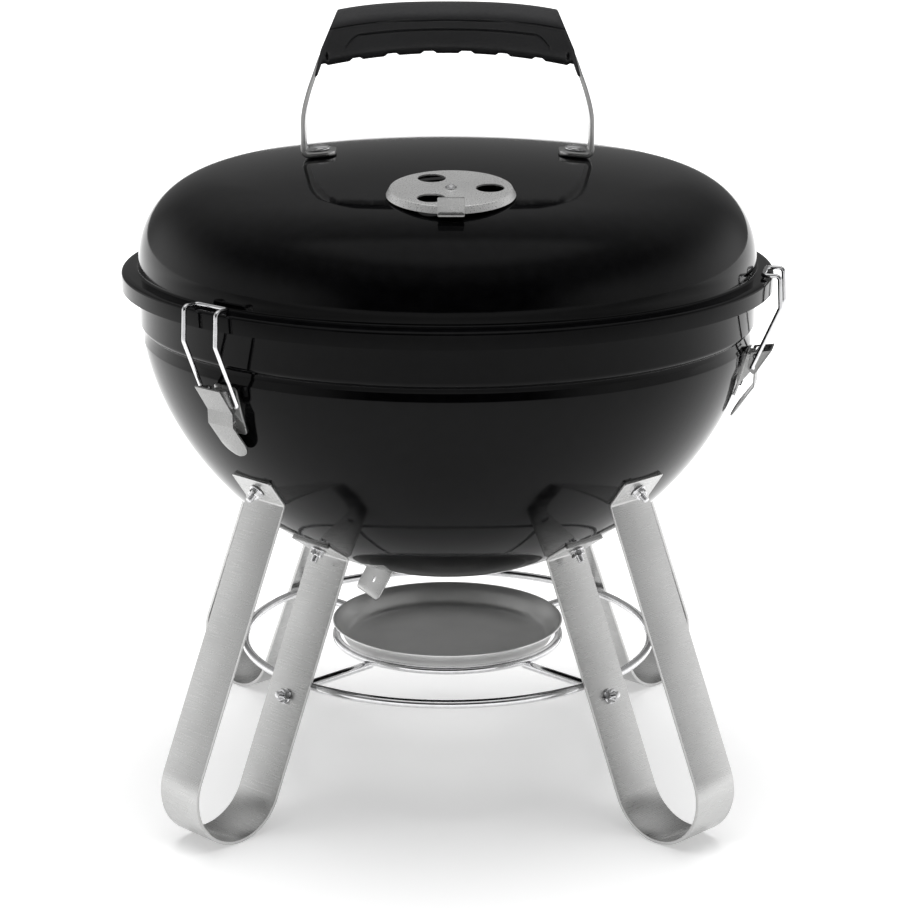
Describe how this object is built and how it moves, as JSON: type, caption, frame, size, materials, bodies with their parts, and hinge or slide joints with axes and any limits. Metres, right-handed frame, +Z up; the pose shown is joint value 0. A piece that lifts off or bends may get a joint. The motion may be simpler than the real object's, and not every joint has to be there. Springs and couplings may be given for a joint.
{
  "type": "kettle charcoal grill",
  "caption": "Portable round charcoal grill with a domed lid, handle, vents, side latches, strap legs, wire rack and ash dish.",
  "frame": {"origin": "on the ground under the kettle's vertical axis", "axes": "+Z up along the kettle's axis, -Y towards the lid's vent (front), +X to the right seen from the front; the handle runs along X"},
  "size_m": [0.3914, 0.3873, 0.4643],
  "materials": {
    "enamel": "gloss black porcelain enamel",
    "stainless": "brushed stainless steel sheet",
    "plated": "bright zinc or nickel plating",
    "plastic": "textured black heat-resistant plastic",
    "grate_steel": "nickel-plated wire"
  },
  "bodies": {
    "kettle": {"bottom_damper_rivet": "plated", "bowl": "enamel", "latch_base_back": "stainless", "latch_base_front_left": "stainless", "latch_base_right": "stainless", "latch_pin_back": "plated", "latch_pin_front_left": "plated", "latch_pin_right": "plated", "latch_rivet_back": "plated", "latch_rivet_front_left": "plated", "latch_rivet_right": "plated", "leg_back_left": "stainless", "leg_back_right": "stainless", "leg_bolt_back_left_inner": "plated", "leg_bolt_back_left_outer": "plated", "leg_bolt_back_right_inner": "plated", "leg_bolt_back_right_outer": "plated", "leg_bolt_front_left_inner": "plated", "leg_bolt_front_left_outer": "plated", "leg_bolt_front_right_inner": "plated", "leg_bolt_front_right_outer": "plated", "leg_front_left": "stainless", "leg_front_right": "stainless", "leg_nut_back_left_inner": "plated", "leg_nut_back_left_outer": "plated", "leg_nut_back_right_inner": "plated", "leg_nut_back_right_outer": "plated", "leg_nut_front_left_inner": "plated", "leg_nut_front_left_outer": "plated", "leg_nut_front_right_inner": "plated", "leg_nut_front_right_outer": "plated", "rack": "plated", "rack_bolt_back_left": "plated", "rack_bolt_back_right": "plated", "rack_bolt_front_left": "plated", "rack_bolt_front_right": "plated", "rack_nut_back_left": "plated", "rack_nut_back_right": "plated", "rack_nut_front_left": "plated", "rack_nut_front_right": "plated"},
    "lid": {"lid": "enamel", "handle_strap": "stainless", "handle_grip": "plastic", "handle_screw_left": "plated", "handle_screw_right": "plated", "handle_nut_left": "plated", "handle_nut_right": "plated", "top_damper_rivet": "plated"},
    "top_damper": {"top_damper": "stainless"},
    "bottom_damper": {"bottom_damper": "stainless"},
    "ash_dish": {"ash_dish": "stainless"},
    "cooking_grate": {"cooking_grate": "grate_steel"},
    "charcoal_grate": {"charcoal_grate": "grate_steel"},
    "latch_lever_front_left": {"latch_lever_front_left": "stainless"},
    "latch_bail_front_left": {"latch_bail_front_left": "plated"},
    "latch_lever_right": {"latch_lever_right": "stainless"},
    "latch_bail_right": {"latch_bail_right": "plated"},
    "latch_lever_back": {"latch_lever_back": "stainless"},
    "latch_bail_back": {"latch_bail_back": "plated"}
  },
  "joints": [
    {"name": "lid_lift", "type": "slide", "parent": "kettle", "child": "lid", "axis": [0, 0, 1], "range_m": [0, 0.14]},
    {"name": "top_damper_turn", "type": "hinge", "parent": "lid", "child": "top_damper", "pos_m": [0.0019, -0.1153, 0.37062], "axis": [0, -0.1344, 0.9909], "range_deg": [-60, 60]},
    {"name": "bottom_damper_turn", "type": "hinge", "parent": "kettle", "child": "bottom_damper", "pos_m": [0, 0, 0.125], "axis": [0, 0, 1], "range_deg": [-60, 0]},
    {"name": "ash_dish_lift", "type": "slide", "parent": "kettle", "child": "ash_dish", "axis": [0, 0, 1], "range_m": [0, 0.02]},
    {"name": "cooking_grate_lift", "type": "slide", "parent": "kettle", "child": "cooking_grate", "axis": [0, 0, 1], "range_m": [0, 0.02]},
    {"name": "charcoal_grate_lift", "type": "slide", "parent": "kettle", "child": "charcoal_grate", "axis": [0, 0, 1], "range_m": [0, 0.05]},
    {"name": "latch_lever_front_left_turn", "type": "hinge", "parent": "kettle", "child": "latch_lever_front_left", "pos_m": [-0.12539, -0.13684, 0.2648], "axis": [-0.7373, 0.6756, 0], "range_deg": [0, 95]},
    {"name": "latch_bail_front_left_turn", "type": "hinge", "parent": "latch_lever_front_left", "child": "latch_bail_front_left", "pos_m": [-0.1239, -0.13522, 0.2581], "axis": [-0.7373, 0.6756, 0], "range_deg": [-100, 0]},
    {"name": "latch_lever_right_turn", "type": "hinge", "parent": "kettle", "child": "latch_lever_right", "pos_m": [0.18154, -0.03859, 0.2648], "axis": [-0.2079, -0.9781, 0], "range_deg": [0, 95]},
    {"name": "latch_bail_right_turn", "type": "hinge", "parent": "latch_lever_right", "child": "latch_bail_right", "pos_m": [0.17939, -0.03813, 0.2581], "axis": [-0.2079, -0.9781, 0], "range_deg": [-100, 0]},
    {"name": "latch_lever_back_turn", "type": "hinge", "parent": "kettle", "child": "latch_lever_back", "pos_m": [-0.05735, 0.17652, 0.2648], "axis": [0.9511, 0.309, 0], "range_deg": [0, 95]},
    {"name": "latch_bail_back_turn", "type": "hinge", "parent": "latch_lever_back", "child": "latch_bail_back", "pos_m": [-0.05667, 0.17442, 0.2581], "axis": [0.9511, 0.309, 0], "range_deg": [-100, 0]}
  ],
  "couplings": [
    {"joint": "latch_bail_front_left_turn", "follows": "latch_lever_front_left_turn", "ratio": -1.05},
    {"joint": "latch_bail_right_turn", "follows": "latch_lever_right_turn", "ratio": -1.05},
    {"joint": "latch_bail_back_turn", "follows": "latch_lever_back_turn", "ratio": -1.05}
  ]
}
